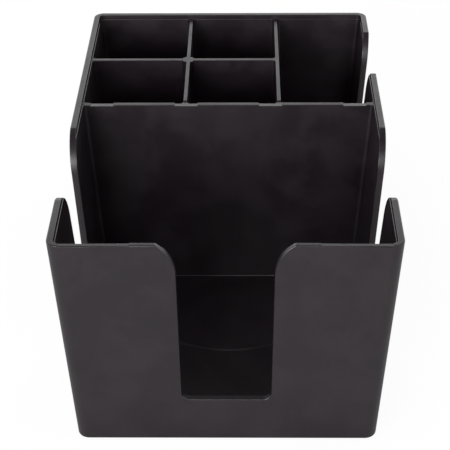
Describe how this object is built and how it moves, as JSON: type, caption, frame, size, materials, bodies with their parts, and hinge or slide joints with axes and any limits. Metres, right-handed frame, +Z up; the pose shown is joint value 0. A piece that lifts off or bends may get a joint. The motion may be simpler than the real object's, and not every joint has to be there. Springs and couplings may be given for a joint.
{
  "type": "bar caddy",
  "caption": "Open-top bar organizer: a napkin bay with finger notch and side dips, small cells and a long side bay, on rubber feet.",
  "frame": {"origin": "on the surface the caddy stands on, under the middle of its outline", "axes": "+Y from the napkin bay to the back wall, +X to the long bay with the single dip, +Z up"},
  "size_m": [0.1524, 0.2414, 0.1088],
  "materials": {
    "black_plastic": "satin moulded ABS, black, fine even texture, slightly warm in the light",
    "black_rubber": "matt black rubber"
  },
  "bodies": {
    "root": {"caddy_body": "black_plastic", "foot_front_left": "black_rubber", "foot_front_right": "black_rubber", "foot_back_left": "black_rubber", "foot_back_right": "black_rubber"}
  },
  "joints": []
}
